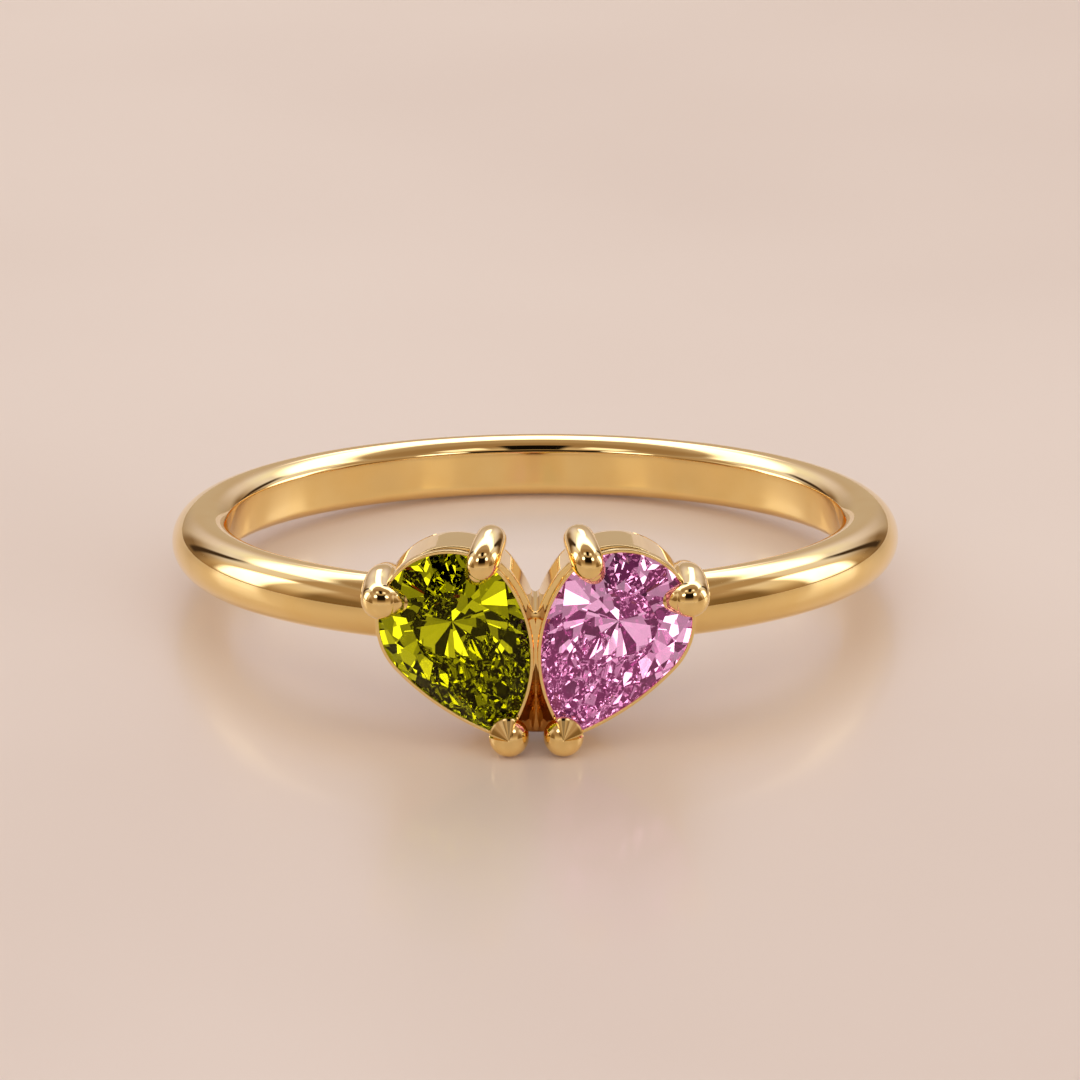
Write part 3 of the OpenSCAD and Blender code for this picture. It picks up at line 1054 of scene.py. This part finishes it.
def cutStone(cut):
    spots, ways = allPlanes(cut)
    bm = bmesh.new()
    for index in range(len(spots)):
        corners = facet(index, spots, ways)
        if len(corners) > 2:
            bm.faces.new([bm.verts.new(corner) for corner in corners])
    bmesh.ops.remove_doubles(bm, verts=bm.verts, dist=cut["weld"])
    bmesh.ops.recalc_face_normals(bm, faces=bm.faces)
    bm.verts.index_update()
    points = np.array([tuple(v.co) for v in bm.verts])
    faces = [tuple(v.index for v in f.verts) for f in bm.faces]
    closed = all(len(e.link_faces) == 2 for e in bm.edges)
    print("stone closed:", closed, round(bm.calc_volume(), 2), "mm3")
    bm.normal_update()
    foiled = [int(f.normal.y > cut["foilFrom"]) for f in bm.faces]     # pavilion and girdle
    bm.free()
    return points, faces, foiled


stonePoints, stoneFaces, stoneFoiled = cutStone(cut)
addPiece("green_pear_stone", stonePoints, stoneFaces, [greenGlass, greenFoil],
         ["green_stone"], flat=True, which=stoneFoiled)
addPiece("pink_pear_stone", stonePoints, stoneFaces, [pinkGlass, pinkFoil],
         ["pink_stone"], mirrored=True, flat=True, which=stoneFoiled)
print("stones made, each with", len(stoneFaces), "faces")

# Claws: bent round bars that fold over the girdle, and a notched ball over each stone's point.
# The angles are round the stone's round end, and each stop is angle, distance out from the
# girdle, depth and radius.
claws = {
    "top": [(56, 0.0, -10.0, 0.32), (58, 0.22, -10.8, 0.38), (60, 0.42, -11.5, 0.41),
            (61, 0.29, -12.2, 0.43), (61, 0.04, -12.76, 0.43), (61, -0.22, -12.74, 0.36),
            (61, -0.44, -12.62, 0.24)],
    "side": [(157, -0.06, -10.0, 0.34), (152.5, 0.08, -11.0, 0.36), (153, 0.18, -11.7, 0.40),
             (157.5, 0.16, -12.3, 0.44), (160.5, 0.08, -12.76, 0.46), (158, -0.18, -12.74, 0.40),
             (155.5, -0.46, -12.64, 0.27)],
    "legFrom": [-3.5, -8.65, 0.4],     # the side claw's leg, from the band
    "legR": 0.3,
    "ballAt": (-0.704686, lie["ballY"], lie["ballZ"]),
    "ballBack": (-0.774686, -10.25, -2.11613),
    "ballR": lie["ballR"],
    "ballPostR": 0.36,
    "notchFrom": 67.0,     # the sloping notch over the stone's point, as angles seen from the front
    "notchTo": 177.0,
    "notchReach": 78.0,    # how far back it runs, as an angle from the ball's front
    "notchWall": 4.0,
    "ballStep": 4.0,
    "ballSharp": 24.0,
    "stoneRoom": 1.004,    # how much larger than the stone the space cut from a claw is
}


def clawStops(rows):
    return [outline.roundEnd(angle, out, y) + [radius] for angle, out, y, radius in rows]


def notchedBall(claws):
    # a ball with a cone-shaped notch that runs back from its front
    reach = math.radians(claws["notchReach"])
    wall = claws["notchWall"]
    start, stop, step = claws["notchFrom"], claws["notchTo"], claws["ballStep"]
    edges = [start, start + wall, stop - wall, stop]
    # marks round the ball, the notch's edges among them, and from its front to its back
    turns = sorted([float(a) for a in np.arange(0, 360, step)
                    if all(abs(a - e) > 1.0 for e in edges)] + edges)
    leans = np.radians(np.append(np.arange(3, 178, step), 178))
    rows = []
    for lean in leans:
        row = []
        for turn in turns:
            radius = claws["ballR"]
            if edges[1] <= turn <= edges[2] and lean < reach:
                radius *= math.cos(reach / 2) / math.cos(lean - reach / 2)
            a = math.radians(turn)
            row.append((radius * math.sin(lean) * math.cos(a), -radius * math.cos(lean),
                        radius * math.sin(lean) * math.sin(a)))
        rows.append(np.array(row) + np.array(claws["ballAt"]))
    tip = np.array(claws["ballAt"]) - [0, claws["ballR"], 0]
    points, faces = skin(rows, capLast=True)
    wide = len(turns)
    points = np.vstack([points, tip])
    faces += [(len(points) - 1, (i + 1) % wide, i) for i in range(wide)]
    return points, faces


def seated(body):
    # takes the stone's space out of a claw, and tells which faces then lie on the stone
    held = []
    stoneSpace = (stoneHeart + (stonePoints - stoneHeart) * claws["stoneRoom"], stoneFaces)
    for name, (points, faces), index in (("claw_body", body, 0), ("stone_space", stoneSpace, 1)):
        mesh = bpy.data.meshes.new(name)
        mesh.from_pydata(np.asarray(points).tolist(), [], faces)
        for finish in (goldFinish, greenFoil):      # only their places in the list count here
            mesh.materials.append(finish)
        mesh.polygons.foreach_set("material_index", [index] * len(faces))
        held.append(bpy.data.objects.new(name, mesh))
        bpy.context.scene.collection.objects.link(held[-1])
    carve = held[0].modifiers.new("carve", "BOOLEAN")
    carve.operation = "DIFFERENCE"
    carve.solver = "EXACT"
    carve.use_self = True
    carve.object = held[1]
    bpy.context.view_layer.update()
    done = held[0].evaluated_get(bpy.context.evaluated_depsgraph_get()).to_mesh()
    points = np.array([tuple(v.co) for v in done.vertices])
    faces = [tuple(f.vertices) for f in done.polygons]
    onStone = [f.material_index for f in done.polygons]
    for one in held:
        bpy.data.objects.remove(one)
    return points, faces, onStone


def addClaws(side, mirrored, foil):
    addGold(side + "_top_claw", [topClaw], mirrored, seat=foil)
    addGold(side + "_side_claw", [sideClaw, sideLeg], mirrored, seat=foil)
    addGold(side + "_ball_claw", [ball, ballPost], mirrored, claws["ballSharp"], seat=foil)


topClaw = seated(tube(clawStops(claws["top"])))
sideStops = clawStops(claws["side"])
sideClaw = seated(tube(sideStops))
sideLeg = tube([claws["legFrom"] + [claws["legR"]], sideStops[0][:3] + [claws["legR"]]])
ball = seated(notchedBall(claws))
ballPost = seated(tube([list(claws["ballBack"]) + [claws["ballPostR"]],
                        list(claws["ballAt"]) + [claws["ballPostR"]]]))
addClaws("left", False, greenFoil)
addClaws("right", True, pinkFoil)
print("claws made")
